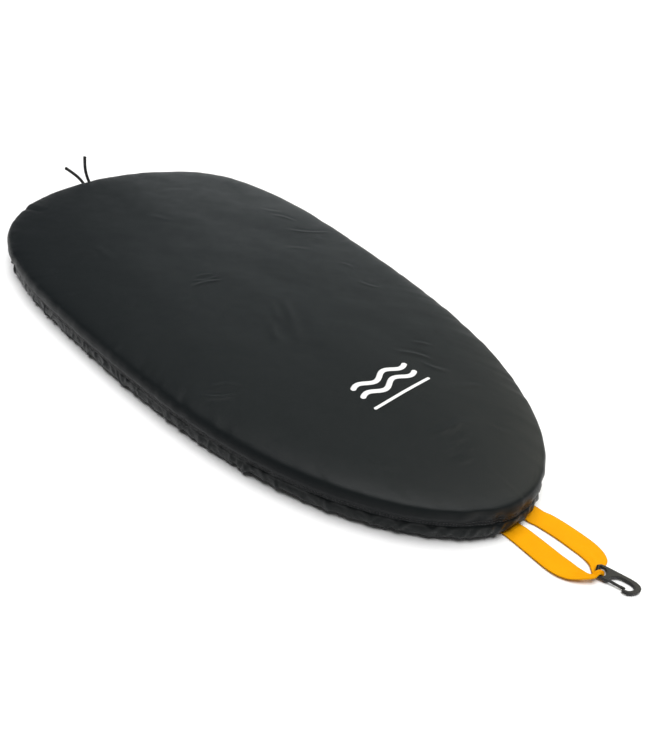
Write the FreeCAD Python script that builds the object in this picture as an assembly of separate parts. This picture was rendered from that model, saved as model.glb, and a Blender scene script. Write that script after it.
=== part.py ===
"""Elastic-hem cockpit cover for a sea kayak: an egg-shaped coated-nylon panel drawn over the coaming
by a shock cord in a sewn hem casing, with a webbing release loop and a plastic snap hook at the bow end
and the knotted tails of the shock cord at the stern end.

Row frame: origin at the centre of the mouth, on the plane of the hem's underside.
+X to the bow end (webbing loop), +Y to port, +Z up. Millimetres."""
import FreeCAD, Part
import math
import os
from FreeCAD import Vector as V

# ---------------------------------------------------------------- driving dimensions
LENGTH = 904.0            # driving outline, bow to stern; the cover itself is 900 long over the rim
WIDTH_PARAM = 482.7       # width parameter of the egg outline (real width 436 over the rim)
SHAPE = (-0.2685, 0.1176, -0.0357, -0.0092)   # egg shape terms
N_LOOP = 60               # points in each closed outline

CLOTH_T = 1.5             # stand-in thickness of the nylon panel
CASING_T = 1.2            # stand-in thickness of the casing strip
FLOOR_T = 3.5             # gathered cloth under the channel
SEAM_Z = 20.5             # height of the joint of panel and casing
RIM_Z = 32.5              # height of the widest line
CROWN_Z = 51.6            # height of the middle of the panel
LAP_TOP = 27.0            # top of the casing strip's seam allowance inside the wall

CORD_D = 5.0              # shock cord
CORD_OFFSET, CORD_Z = -9.6, 7.2

WEB_W, WEB_T = 25.0, 1.5  # webbing
WEB_BUNCH_W, WEB_BUNCH_T = 8.0, 2.4   # where it is gathered in the hook's eye
HINGE_X, HINGE_Z = 456.0, 1.0         # line on which the loop lifts

BAR = (526.0, 17.0, 4.6)  # centre of the hook's eye bar
BAR_R = 1.7
BAR_CLEAR = 0.3
HOOK_YAW = 23.3           # degrees, from +X towards +Y
HOOK_TILT = 4.3           # degrees, nose down onto the ground
HOOK_T = 3.2              # plate thickness
GATE_T = 2.4
GATE_PIVOT = (9.6, -5.0)  # in the hook's own frame
GATE_ROOT_R = 1.3
GATE_CLEAR = 0.25

EXIT_Y, EXIT_Z = -12.0, 8.5           # cord exit in the stern of the casing
KNOT = (-454.5, -12.0, 13.0)
KNOT_R, KNOT_HALF = 5.6, 2.6

PARTS = "parts"
os.makedirs(PARTS, exist_ok=True)


# ---------------------------------------------------------------- outline
def egg(u):
    c, s = math.cos(u), math.sin(u)
    a0, a1, a2, a3 = SHAPE
    f = 1 + a0 * c + a1 * (2 * c * c - 1) + a2 * (4 * c ** 3 - 3 * c) + a3 * (8 * c ** 4 - 8 * c * c + 1)
    return LENGTH / 2 * c, WIDTH_PARAM / 2 * s * f


def egg_normal(u):
    h = 1e-4
    x0, y0 = egg(u - h)
    x1, y1 = egg(u + h)
    dx, dy = x1 - x0, y1 - y0
    n = math.hypot(dx, dy)
    return dy / n, -dx / n


def u_at_y(y):
    """Outline angle near the bow where the outline has that y."""
    lo, hi = -1.2, 1.2
    for _ in range(60):
        mid = (lo + hi) / 2
        if egg(mid)[1] < y:
            lo = mid
        else:
            hi = mid
    return (lo + hi) / 2


def loop_points(offset, z, scale=1.0, centre=(-20.0, 0.0)):
    pts = []
    for i in range(N_LOOP):
        u = 2 * math.pi * i / N_LOOP
        x, y = egg(u)
        nx, ny = egg_normal(u)
        x, y = x + nx * offset, y + ny * offset
        pts.append(V(centre[0] + scale * (x - centre[0]), centre[1] + scale * (y - centre[1]), z))
    return pts


def loop_wire(offset, z, scale=1.0):
    c = Part.BSplineCurve()
    c.interpolate(Points=loop_points(offset, z, scale), PeriodicFlag=True,
                  Parameters=[float(i) for i in range(N_LOOP + 1)])
    return Part.Wire([c.toShape()])


def disc(levels):
    """Solid through closed outlines (offset, z[, scale]), ruled between them."""
    s = Part.makeLoft([loop_wire(*l) for l in levels], True, True, False)
    return s if s.Volume > 0 else s.reversed()


# ---------------------------------------------------------------- routes and rounded outlines
def rounded(points, closed=False, cap=None):
    """Straight runs joined by tangent arcs. Returns (wire, radii)."""
    n = len(points)
    pts = [V(*p) for p in points]
    idx = range(n) if closed else range(1, n - 1)
    arcs, radii = {}, []
    for i in idx:
        a, b, c = pts[i - 1], pts[i], pts[(i + 1) % n]
        d0, d1 = (a - b), (c - b)
        l0, l1 = d0.Length, d1.Length
        d0.normalize(); d1.normalize()
        turn = math.pi - math.acos(max(-1.0, min(1.0, d0.dot(d1))))
        t = 0.45 * min(l0, l1)
        r = t / math.tan(turn / 2)
        if cap is not None and r > cap:
            r = cap
            t = r * math.tan(turn / 2)
        p, q = b + d0 * t, b + d1 * t
        mid_dir = (d0 + d1)
        mid_dir.normalize()
        centre = b + mid_dir * (r / math.cos(turn / 2))
        m = centre - mid_dir * r
        arcs[i] = (p, m, q)
        radii.append(r)
    edges = []
    if closed:
        for i in range(n):
            p, m, q = arcs[i]
            edges.append(Part.Arc(p, m, q).toShape())
            nxt = arcs[(i + 1) % n][0]
            if (nxt - q).Length > 1e-6:
                edges.append(Part.LineSegment(q, nxt).toShape())
    else:
        last = pts[0]
        for i in range(1, n - 1):
            p, m, q = arcs[i]
            edges.append(Part.LineSegment(last, p).toShape())
            edges.append(Part.Arc(p, m, q).toShape())
            last = q
        edges.append(Part.LineSegment(last, pts[-1]).toShape())
    return Part.Wire(edges), radii


def tube(points, d):
    path, radii = rounded(points)
    t = (V(*points[1]) - V(*points[0]))
    t.normalize()
    ring = Part.Wire([Part.Circle(V(*points[0]), t, d / 2).toShape()])
    s = path.makePipeShell([ring], True, False)
    if s.Volume < 0:
        s = s.reversed()
    want = math.pi * d * d / 4 * path.Length
    print("  tube length %.1f radii %s volume %.1f of %.1f" %
          (path.Length, [round(r, 1) for r in radii], s.Volume, want))
    return s


def plate(points, z0, z1, cap=None):
    w, _ = rounded([(x, y, z0) for x, y in points], closed=True, cap=cap)
    return Part.Face(w).extrude(V(0, 0, z1 - z0))


def ribbon(sections):
    """Closed solid through rectangular sections (centre, width direction, thickness direction, width, thickness)."""
    wires = []
    for c, w, t, width, thick in sections:
        c, w, t = V(*c), V(*w), V(*t)
        w.normalize()
        t = t - w * w.dot(t)
        t.normalize()
        a, b = w * (width / 2), t * (thick / 2)
        wires.append(Part.makePolygon([c - a - b, c + a - b, c + a + b, c - a + b, c - a - b]))
    s = Part.makeLoft(wires, True, True, False)
    return s if s.Volume > 0 else s.reversed()


made = {}


def save(name, shape):
    solids = shape.Solids
    for s in solids:
        if not s.isValid():
            print("  INVALID solid in", name)
    out = solids[0] if len(solids) == 1 else Part.makeCompound(solids)
    out.exportStep(os.path.join(PARTS, name + ".step"))
    b = out.BoundBox
    made[name] = out
    print("%-20s %d solid(s) %9.1f mm3  x %.1f..%.1f y %.1f..%.1f z %.1f..%.1f" %
          (name, len(solids), out.Volume, b.XMin, b.XMax, b.YMin, b.YMax, b.ZMin, b.ZMax))


# ---------------------------------------------------------------- nylon panel (top and drawn-down wall, one cloth)
WALL = [(-5.5, SEAM_Z), (-3.9, 25.0), (-2.6, 29.0), (-2.0, RIM_Z), (-3.0, 37.0), (-6.0, 41.2)]
SHOULDER = -6.0           # offset of the top of the wall
CROWN = [(0.977, 43.9), (0.94, 45.9), (0.89, 47.2), (0.80, 48.5), (0.64, 49.9), (0.44, 50.9), (0.24, 51.4), (0.05, CROWN_Z)]


def wall_offset(z):
    for (o0, z0), (o1, z1) in zip(WALL, WALL[1:]):
        if z0 <= z <= z1:
            return o0 + (o1 - o0) * (z - z0) / (z1 - z0)
    raise ValueError(z)


outer = disc([(o, z) for o, z in WALL] + [(SHOULDER, z, s) for s, z in CROWN])
inner_wall = [(o - CLOTH_T, z) for o, z in WALL if z <= RIM_Z]
inner_wall = [(-5.5 - CLOTH_T - 0.5, SEAM_Z - 1.0)] + inner_wall + [(-3.0 - CLOTH_T, 36.4), (SHOULDER - CLOTH_T + 0.4, 40.0)]
inner = disc(inner_wall + [(SHOULDER - 0.6, z - CLOTH_T - 0.1, s) for s, z in CROWN])
top_panel = outer.cut(inner)
save("top_panel", top_panel)

# ---------------------------------------------------------------- hem casing: strip sewn to the panel, folded into a channel
CAS_OUT = [(-7.0, 0.0), (-5.3, 0.9), (-4.2, 3.6), (-3.6, 9.0), (-4.0, 14.5), (-5.5, SEAM_Z)]
CAS_IN = [(-12.6, 0.0), (-14.2, 0.9), (-15.2, 3.6), (-15.5, 9.0), (-13.0, 15.0), (-8.6, SEAM_Z)]
cas_outer = disc(CAS_OUT)
cas_inner = disc([(-12.6, -1.0)] + CAS_IN + [(-8.6, SEAM_Z + 1.0)])
T = CASING_T
ch_outer = disc([(-7.0, FLOOR_T), (-5.5, FLOOR_T + 1.2), (-3.6 - T, 9.0), (-4.1 - T, 14.2), (-5.2 - T, 17.6)])
ch_inner = disc([(-12.6, FLOOR_T - 0.5), (-12.6, FLOOR_T), (-14.0, FLOOR_T + 1.2), (-15.4 + T, 9.0), (-12.4 + T, 14.6), (-7.6, 17.6), (-7.6, 18.6)])
channel = ch_outer.cut(ch_inner)
lap_outer = disc([(wall_offset(SEAM_Z) - CLOTH_T - 0.45, SEAM_Z - 0.4), (wall_offset(25.0) - CLOTH_T - 0.15, 25.0),
                  (wall_offset(LAP_TOP) - CLOTH_T - 0.15, LAP_TOP)])
lap_inner = disc([(wall_offset(SEAM_Z) - CLOTH_T - 1.1, SEAM_Z - 1.4), (wall_offset(SEAM_Z) - CLOTH_T - 1.1, SEAM_Z),
                  (wall_offset(25.0) - CLOTH_T - 1.1, 25.0), (wall_offset(LAP_TOP) - CLOTH_T - 1.1, LAP_TOP),
                  (wall_offset(LAP_TOP) - CLOTH_T - 1.1, LAP_TOP + 1.0)])
casing = cas_outer.cut(cas_inner).cut(channel)
lap = lap_outer.cut(lap_inner)
casing = casing.fuse(lap)
# oval way out for the cord ends, stern end
x_out = egg(math.pi)[0]
exit_hole = plate([(-6.3, -3.3), (6.3, -3.3), (6.3, 3.3), (-6.3, 3.3)], 0, 12.0, cap=3.0)
exit_hole.rotate(V(0, 0, 0), V(0, 1, 0), -90)            # plate normal now along -X
exit_hole.rotate(V(0, 0, 0), V(1, 0, 0), 90)
exit_hole.translate(V(x_out + 9.0, EXIT_Y, EXIT_Z))
casing = casing.cut(exit_hole)
# one shallow flat under the hem where the two ends of the webbing pass
casing = casing.cut(Part.makeBox(45.0, 61.5, 2.3 + 1.0, V(415.0, -18.5, -1.0)))
save("hem_casing", casing)

# ---------------------------------------------------------------- seam threads, two rows
for name, z in (("hem_thread_lower", 22.3), ("hem_thread_upper", 25.6)):
    o = wall_offset(z + 0.4)
    band_o = disc([(wall_offset(z) + 0.35, z), (wall_offset(z + 0.8) + 0.35, z + 0.8)])
    band_i = disc([(wall_offset(z) - 0.5, z - 0.5), (wall_offset(z + 0.8) - 0.5, z + 1.3)])
    save(name, band_o.cut(band_i))

# ---------------------------------------------------------------- shock cord in the channel
N_CORD = 60
cord_pts = []
for i in range(N_CORD):
    u = 2 * math.pi * (i + 0.5) / N_CORD
    x, y = egg(u)
    nx, ny = egg_normal(u)
    cord_pts.append((x + nx * (CORD_OFFSET + 0.5), y + ny * (CORD_OFFSET + 0.5), CORD_Z))
ring_path, _ = rounded(cord_pts, closed=True)
start = ring_path.Edges[0].Curve.value(ring_path.Edges[0].FirstParameter)
tan = ring_path.Edges[0].tangentAt(ring_path.Edges[0].FirstParameter)
sec = Part.Wire([Part.Circle(start, tan, CORD_D / 2).toShape()])
ring = ring_path.makePipeShell([sec], True, False)
if ring.Volume < 0:
    ring = ring.reversed()
print("  shock cord ring length %.1f" % ring_path.Length, "volume ratio %.4f" % (ring.Volume / (math.pi * CORD_D ** 2 / 4 * ring_path.Length)))
save("shock_cord", ring)

# ---------------------------------------------------------------- knot of the two cord ends, with the ends that reach into the casing
kx, ky, kz = KNOT
ball = Part.makeCylinder(KNOT_R, 2 * KNOT_HALF, V(kx, ky - KNOT_HALF, kz), V(0, 1, 0))
for side in (-1, 1):
    ball = ball.fuse(Part.makeSphere(KNOT_R, V(kx, ky + side * KNOT_HALF, kz)))
ball = ball.removeSplitter()
neck_x0 = x_out + 11.3 - CORD_D / 2 - 1.0   # clear of the cord in the channel
necks = []
for dy in (-2.7, 2.7):
    c = Part.makeCylinder(2.3, 12.0, V(neck_x0 - 3.4, EXIT_Y + dy, EXIT_Z), V(-1, 0, 0.25))
    necks.append(c)
knot = ball.fuse(necks)
save("cord_knot", knot)

TAIL_RIGHT = [(-457.6, -16.2, 17.6), (-461.2, -19.2, 28.0), (-463.2, -25.5, 41.5), (-463.0, -36.0, 54.0), (-461.2, -47.0, 64.6)]
TAIL_LEFT = [(-457.2, -9.0, 18.4), (-460.4, -11.0, 29.6), (-462.0, -14.3, 45.2), (-461.4, -15.4, 61.6), (-460.3, -13.2, 77.4)]
for name, pts in (("cord_tail_right", TAIL_RIGHT), ("cord_tail_left", TAIL_LEFT)):
    t = tube(pts, CORD_D).cut(ball)
    t = max(t.Solids, key=lambda s: s.Volume)
    save(name, t)

# bar tacks at both sides of the cord exit
tacks = []
for dy in (-8.6, 8.6):
    u = math.pi - (EXIT_Y + dy) / 215.0
    x, y = egg(u)
    nx, ny = egg_normal(u)
    b = Part.makeBox(1.7, 1.8, 8.0, V(-0.85, -0.9, -4.0))
    b.rotate(V(0, 0, 0), V(0, 0, 1), math.degrees(math.atan2(ny, nx)))
    yy = EXIT_Y + dy
    # point of the outline with that y, stern side
    lo, hi = math.pi / 2, 3 * math.pi / 2
    for _ in range(60):
        mid = (lo + hi) / 2
        if egg(mid)[1] > yy:
            lo = mid
        else:
            hi = mid
    x, y = egg((lo + hi) / 2)
    nx, ny = egg_normal((lo + hi) / 2)
    b.translate(V(x + nx * -4.0, y + ny * -4.0, EXIT_Z))
    tacks.append(b)
save("exit_bartacks", Part.makeCompound(tacks))

# ---------------------------------------------------------------- webbing
# fixed ends: from the lifting line back under the hem and up its inner face
def strap_end(y_out, y_base):
    u = u_at_y(y_base)
    x, y = egg(u)
    nx, ny = egg_normal(u)
    n, w = V(nx, ny, 0), V(-ny, nx, 0)

    def at(off, z):
        return (x + nx * off, y + ny * off, z)
    z0 = HINGE_Z
    sec = [((HINGE_X - 1.6, y_out, z0), (0, 1, 0), (0, 0, 1), WEB_W, WEB_T)]
    mid_w = V(0, 1, 0) * 0.5 + w * 0.5
    a = at(-4.0, z0)
    sec.append((a, tuple(mid_w), (0, 0, 1), WEB_W - 1.0, WEB_T))
    sec.append((at(-14.0, z0), tuple(w), (0, 0, 1), WEB_W - 1.5, WEB_T))
    r = 2.2
    c = (-18.4 + r, z0 + r)
    for k in range(0, 5):
        th = math.radians(22.5 * k)
        off = c[0] - r * math.sin(th)
        z = c[1] - r * math.cos(th)
        tdir = n * math.sin(th) + V(0, 0, 1) * math.cos(th)
        sec.append((at(off, z), tuple(w), tuple(tdir), WEB_W - 1.5, WEB_T))
    sec.append((at(-18.4, 19.0), tuple(w), tuple(n), WEB_W - 1.5, WEB_T))
    bars = []
    for z in (6.6, 11.0):
        b = Part.makeBox(4.8, 17.0, 1.5, V(0, -8.5, -0.75))
        b.rotate(V(0, 0, 0), V(0, 0, 1), math.degrees(math.atan2(ny, nx)))
        p = at(-19.6, z)
        b.translate(V(*p))
        bars.append(b)
    return ribbon(sec), bars


end_r, bars_r = strap_end(-4.0, -4.8)
end_l, bars_l = strap_end(28.0, 28.0)
save("strap_end_right", end_r)
save("strap_end_left", end_l)
save("strap_bartacks", Part.makeCompound(bars_r + bars_l))

# the loop: near leg, over and round the eye bar, back as the far leg
yaw = math.radians(HOOK_YAW)
hx, hy = (math.cos(yaw), math.sin(yaw), 0.0), (-math.sin(yaw), math.cos(yaw), 0.0)
B = V(*BAR)
HX, HY = V(*hx), V(*hy)
wrap_r = BAR_R + BAR_CLEAR + WEB_BUNCH_T / 2
loop = [
    ((HINGE_X, -4.0, HINGE_Z), (0, 1, 0), (0, 0, 1), WEB_W, WEB_T),
    ((470.0, -3.2, 1.3), (0, 1, 0), (0, 0, 1), WEB_W, WEB_T),
    ((485.0, -3.6, 1.7), (0.04, 1, 0), (0, 0, 1), WEB_W - 0.5, WEB_T),
    ((497.5, -2.8, 2.5), (-0.10, 1, 0.04), (-0.15, 0, 1), WEB_W - 3.0, 1.7),
    ((507.5, 0.4, 4.2), (-0.34, 0.94, 0.10), (-0.2, 0, 1), 16.5, 2.0),
    ((515.0, 6.4, 6.6), (-0.44, 0.90, 0.05), (-0.25, 0, 1), 11.0, 2.2),
]
p = B - HX * 5.0 + V(0, 0, wrap_r)
loop.append((tuple(p), hy, (-0.1, 0, 1), WEB_BUNCH_W, WEB_BUNCH_T))
for k in range(0, 9):
    th = math.radians(90 - 22.5 * k)
    d = HX * math.cos(th) + V(0, 0, math.sin(th))
    loop.append((tuple(B + d * wrap_r), hy, tuple(d), WEB_BUNCH_W, WEB_BUNCH_T))
p = B - HX * 4.0 - V(0, 0, wrap_r)
loop.append((tuple(p), hy, (0, 0, -1), WEB_BUNCH_W, WEB_BUNCH_T))
loop += [
    ((518.6, 19.6, 1.5), (-0.28, 0.96, 0), (0, 0, -1), 12.6, 2.2),
    ((514.6, 26.4, 1.45), (-0.12, 0.99, 0), (0, 0, -1), 20.4, 1.9),
    ((506.0, 30.4, 1.4), (-0.06, 1.0, 0), (0, 0, -1), WEB_W - 1.4, 1.7),
    ((492.0, 31.2, 1.3), (0.0, 1, 0), (0, 0, -1), WEB_W - 0.6, WEB_T),
    ((473.0, 29.6, 1.1), (0.02, 1, 0), (0, 0, -1), WEB_W, WEB_T),
    ((HINGE_X, 28.0, HINGE_Z), (0, 1, 0), (0, 0, -1), WEB_W, WEB_T),
]
release = ribbon(loop)
for y in (-4.0, 28.0):
    release = release.fuse(Part.makeCylinder(WEB_T / 2, WEB_W, V(HINGE_X, y - WEB_W / 2, HINGE_Z), V(0, 1, 0)))
save("release_loop", release)

# ---------------------------------------------------------------- snap hook, one moulding: body and springy gate tongue
BODY = [(-1.7, -4.9), (0.4, -6.9), (6.0, -7.3), (12.4, -7.2), (12.4, -3.4), (13.2, -1.2), (16.1, 1.2), (19.0, 2.6),
        (23.0, 2.8), (29.0, 1.9), (32.2, 0.6), (33.4, -2.2), (32.4, -5.0), (30.2, -7.3), (28.0, -8.6),
        (25.8, -8.75), (23.7, -8.6), (23.3, -9.9), (25.4, -10.9), (28.8, -11.1), (32.6, -9.4), (36.0, -6.4), (38.3, -3.0), (38.6, 0.4),
        (37.0, 3.4), (33.4, 5.3), (28.0, 6.3), (16.0, 7.2), (7.0, 7.9), (2.0, 7.8), (-1.7, 5.1)]
# the lug beside the eye carries a round seat for the tongue's root; the tongue's root itself is in the gate
EYE = [(-3.0, -5.0), (5.4, -5.0), (7.6, -2.6), (8.0, 2.6), (6.0, 5.2), (-3.0, 5.2)]
GATE = [(9.4, -4.4), (13.0, -4.9), (20.3, -5.9), (24.6, -5.9), (26.0, -6.5), (25.8, -7.75), (22.0, -7.7), (15.6, -7.0), (9.4, -6.1)]


def place(shape):
    shape.rotate(V(0, 0, 0), V(0, 1, 0), HOOK_TILT)
    shape.rotate(V(0, 0, 0), V(0, 0, 1), HOOK_YAW)
    shape.translate(B)
    return shape


body = plate(BODY, -HOOK_T / 2, HOOK_T / 2, cap=3.2)
try:
    body = body.makeFillet(0.7, [e for e in body.Edges if abs(e.BoundBox.ZMax - e.BoundBox.ZMin) < 1e-3])
    print("  hook edges rounded")
except Exception as e:
    print("  hook edges left square:", e)
eye = plate(EYE, -HOOK_T, HOOK_T, cap=2.2)
body = body.cut(eye)
bar = Part.makeCylinder(BAR_R, 11.0, V(0, -5.4, 0), V(0, 1, 0))
body = body.fuse(bar)
gx, gy = GATE_PIVOT
seat = Part.makeCylinder(GATE_ROOT_R + GATE_CLEAR, 3 * HOOK_T, V(gx, gy, -1.5 * HOOK_T), V(0, 0, 1))
# the way in front of the seat, as wide as the tongue's root swings
way = plate([(gx, gy + GATE_ROOT_R + GATE_CLEAR + 1.1), (gx, gy - GATE_ROOT_R - GATE_CLEAR), (gx + 6.0, gy - 2.9), (gx + 6.0, gy + 4.6)],
            -HOOK_T, HOOK_T, cap=0.3)
body = body.cut(seat).cut(way)
body = max(body.Solids, key=lambda s: s.Volume)
save("snap_hook_body", place(body))

gate = plate(GATE, -GATE_T / 2, GATE_T / 2, cap=1.0)
root = Part.makeCylinder(GATE_ROOT_R, GATE_T, V(gx, gy, -GATE_T / 2), V(0, 0, 1))
gate = gate.cut(Part.makeBox(gx - 0.0 + 5, 10, 10, V(-5.0, gy - 5, -5))).fuse(root)
save("snap_hook_gate", place(gate))

# ---------------------------------------------------------------- printed mark: two plain wave bands and a bar, lying on the panel
def top_z(x, y):
    """Height of the outside of the panel at a point."""
    hit = made["top_panel"].common(Part.makeLine(V(x, y, 38.0), V(x, y, 60.0)))
    return hit.BoundBox.ZMax


def mark_band(a, b, half, wave, lobes, n=24):
    """Thin wavy strip from a to b on the panel."""
    ax, ay = a
    bx, by = b
    L = math.hypot(bx - ax, by - ay)
    dx, dy = (bx - ax) / L, (by - ay) / L
    px, py = -dy, dx
    sec = []
    for i in range(n + 1):
        t = i / n
        s = wave * math.sin(2 * math.pi * lobes * t)
        x, y = ax + dx * L * t + px * s, ay + dy * L * t + py * s
        slope = wave * 2 * math.pi * lobes / L * math.cos(2 * math.pi * lobes * t)
        w = (px - dx * slope, py - dy * slope, 0)
        z = top_z(x, y)
        sec.append(((x, y, z + 0.05), w, (0, 0, 1), 2 * half, 0.5))
    return ribbon(sec)


bands = [mark_band((243.5, -34.0), (239.0, 46.0), 3.0, 4.2, 2.0, n=32),
         mark_band((259.5, -34.0), (255.0, 46.0), 3.0, 4.2, 2.0, n=32),
         mark_band((279.0, -35.0), (274.2, 50.0), 1.9, 0.001, 1.0, n=10)]
save("printed_mark", Part.makeCompound(bands))
print("nodes", len(made))
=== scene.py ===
"""Looks of the elastic-hem kayak cockpit cover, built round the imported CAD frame. Metres, row frame."""
import math
import bpy
import numpy as np
from mathutils import Matrix, Vector


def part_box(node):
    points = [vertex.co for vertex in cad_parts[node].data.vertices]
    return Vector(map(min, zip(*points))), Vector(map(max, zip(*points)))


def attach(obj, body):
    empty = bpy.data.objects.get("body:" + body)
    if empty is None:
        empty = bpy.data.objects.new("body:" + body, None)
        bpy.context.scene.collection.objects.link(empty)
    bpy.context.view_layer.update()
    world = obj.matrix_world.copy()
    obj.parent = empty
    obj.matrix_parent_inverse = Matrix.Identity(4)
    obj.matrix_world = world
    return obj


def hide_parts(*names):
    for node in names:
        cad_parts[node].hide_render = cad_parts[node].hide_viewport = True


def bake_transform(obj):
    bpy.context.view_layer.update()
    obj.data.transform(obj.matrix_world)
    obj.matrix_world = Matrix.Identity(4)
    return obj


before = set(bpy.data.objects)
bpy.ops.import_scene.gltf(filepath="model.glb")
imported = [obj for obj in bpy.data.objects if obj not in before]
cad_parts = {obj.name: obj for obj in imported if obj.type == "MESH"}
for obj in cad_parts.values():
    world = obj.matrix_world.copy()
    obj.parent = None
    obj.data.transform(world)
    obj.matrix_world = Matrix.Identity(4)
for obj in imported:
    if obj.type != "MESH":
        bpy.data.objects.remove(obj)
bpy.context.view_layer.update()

MM = 0.001
RNG = np.random.default_rng(7)
scene = bpy.context.scene


# ------------------------------------------------------------------ outline of the cover, as in the CAD source (millimetres)
plo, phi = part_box("top_panel")
LENGTH = 904.0
WIDTH_PARAM = 482.7
SHAPE = (-0.2685, 0.1176, -0.0357, -0.0092)
CX = -20.0


def egg(u):
    c, s = np.cos(u), np.sin(u)
    a0, a1, a2, a3 = SHAPE
    f = 1 + a0 * c + a1 * (2 * c * c - 1) + a2 * (4 * c ** 3 - 3 * c) + a3 * (8 * c ** 4 - 8 * c * c + 1)
    return LENGTH / 2 * c, WIDTH_PARAM / 2 * s * f


def egg_normal(u):
    h = 1e-4
    x0, y0 = egg(u - h)
    x1, y1 = egg(u + h)
    n = np.hypot(x1 - x0, y1 - y0)
    return (y1 - y0) / n, -(x1 - x0) / n


_u = np.linspace(0, 2 * math.pi, 20001)
_x, _y = egg(_u)
_s = np.concatenate([[0], np.cumsum(np.hypot(np.diff(_x), np.diff(_y)))])
PERIM = float(_s[-1])


def u_of_s(s):
    return np.interp(np.mod(s, PERIM), _s, _u)


def s_of_u(u):
    return np.interp(np.mod(u, 2 * math.pi), _u, _s)


def s_near(x, y):
    return float(_s[int(np.argmin((_x - x) ** 2 + (_y - y) ** 2))])


def around(d):
    """Signed distance round the hem, nearest way."""
    return (d + PERIM / 2) % PERIM - PERIM / 2


# ------------------------------------------------------------------ small numeric helpers
def smooth_table(rows, n):
    """Points on a smooth curve through rows (first column is the parameter)."""
    rows = np.array(rows, float)
    t, v = rows[:, 0], rows[:, 1:]
    m = np.zeros_like(v)
    m[1:-1] = (v[2:] - v[:-2]) / (t[2:] - t[:-2])[:, None]
    m[0] = (v[1] - v[0]) / (t[1] - t[0])
    m[-1] = (v[-1] - v[-2]) / (t[-1] - t[-2])
    q = np.asarray(n, float) if np.ndim(n) else np.linspace(t[0], t[-1], n)
    k = np.clip(np.searchsorted(t, q, side="right") - 1, 0, len(t) - 2)
    h = (t[k + 1] - t[k])[:, None]
    a = ((q - t[k])[:, None]) / h
    return ((2 * a ** 3 - 3 * a ** 2 + 1) * v[k] + (a ** 3 - 2 * a ** 2 + a) * h * m[k]
            + (-2 * a ** 3 + 3 * a ** 2) * v[k + 1] + (a ** 3 - a ** 2) * h * m[k + 1])


def _hash(ix, iy, seed):
    h = (ix.astype(np.int64) * 374761393 + iy.astype(np.int64) * 668265263 + seed * 1442695041) & 0x7FFFFFFF
    h = ((h ^ (h >> 13)) * 1274126177) & 0x7FFFFFFF
    return ((h ^ (h >> 16)) & 0xFFFF) / 65535.0 * 2 - 1


def noise2(x, y, seed=0):
    x, y = np.asarray(x, float), np.asarray(y, float)
    ix, iy = np.floor(x), np.floor(y)
    fx, fy = x - ix, y - iy
    fx, fy = fx ** 3 * (fx * (fx * 6 - 15) + 10), fy ** 3 * (fy * (fy * 6 - 15) + 10)
    a, b = _hash(ix, iy, seed), _hash(ix + 1, iy, seed)
    c, d = _hash(ix, iy + 1, seed), _hash(ix + 1, iy + 1, seed)
    return (a * (1 - fx) + b * fx) * (1 - fy) + (c * (1 - fx) + d * fx) * fy


def sstep(a, b, x):
    t = np.clip((x - a) / (b - a), 0, 1)
    return t * t * (3 - 2 * t)


def grid_normals(P, wrap=True):
    du = np.roll(P, -1, 1) - np.roll(P, 1, 1) if wrap else np.gradient(P, axis=1)
    dv = np.gradient(P, axis=0)
    n = np.cross(du, dv)
    n /= np.maximum(np.linalg.norm(n, axis=2, keepdims=True), 1e-12)
    return n


def new_mesh(name, verts, faces, uv=None, smooth=True):
    me = bpy.data.meshes.new(name)
    me.from_pydata([tuple(v) for v in verts], [], faces)
    me.validate()
    if smooth:
        me.polygons.foreach_set("use_smooth", [True] * len(me.polygons))
    if uv is not None:
        layer = me.uv_layers.new(name="cloth")
        loops = np.zeros(len(me.loops), np.int32)
        me.loops.foreach_get("vertex_index", loops)
        layer.data.foreach_set("uv", np.asarray(uv, np.float32)[loops].ravel())
    me.update()
    o = bpy.data.objects.new(name, me)
    scene.collection.objects.link(o)
    return o


def grid_faces(rows, cols, wrap=True, flip=False, base=0):
    out = []
    cc = cols if wrap else cols - 1
    for j in range(rows - 1):
        for i in range(cc):
            a, b = base + j * cols + i, base + j * cols + (i + 1) % cols
            c, d = b + cols, a + cols
            out.append((a, d, c, b) if flip else (a, b, c, d))
    return out


def apply_modifiers(o):
    dg = bpy.context.evaluated_depsgraph_get()
    me = bpy.data.meshes.new_from_object(o.evaluated_get(dg), preserve_all_data_layers=True, depsgraph=dg)
    old = o.data
    o.modifiers.clear()
    o.data = me
    me.name = o.name
    bpy.data.meshes.remove(old)
    return o


# ------------------------------------------------------------------ node helpers
def material(name):
    m = bpy.data.materials.new(name)
    m.use_nodes = True
    nt = m.node_tree
    nt.nodes.clear()
    out = nt.nodes.new("ShaderNodeOutputMaterial")
    sh = nt.nodes.new("ShaderNodeBsdfPrincipled")
    nt.links.new(sh.outputs[0], out.inputs[0])
    return m, nt, sh


def N(nt, kind, **kw):
    n = nt.nodes.new(kind)
    for k, v in kw.items():
        setattr(n, k, v)
    return n


def L(nt, a, b):
    nt.links.new(a, b)


def mth(nt, op, a, b=None, c=None):
    n = N(nt, "ShaderNodeMath", operation=op)
    for i, v in enumerate((a, b, c)):
        if v is None:
            continue
        if isinstance(v, (int, float)):
            n.inputs[i].default_value = v
        else:
            L(nt, v, n.inputs[i])
    return n.outputs[0]


def noise_node(nt, vec, scale, detail=3.0, rough=0.5, distortion=0.0):
    n = N(nt, "ShaderNodeTexNoise")
    n.inputs["Scale"].default_value = scale
    n.inputs["Detail"].default_value = detail
    n.inputs["Roughness"].default_value = rough
    n.inputs["Distortion"].default_value = distortion
    L(nt, vec, n.inputs["Vector"])
    return n.outputs["Fac"]


def mapr(nt, v, a, b, c, d):
    n = N(nt, "ShaderNodeMapRange")
    L(nt, v, n.inputs["Value"])
    for k, x in zip(("From Min", "From Max", "To Min", "To Max"), (a, b, c, d)):
        n.inputs[k].default_value = x
    return n.outputs[0]


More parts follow.
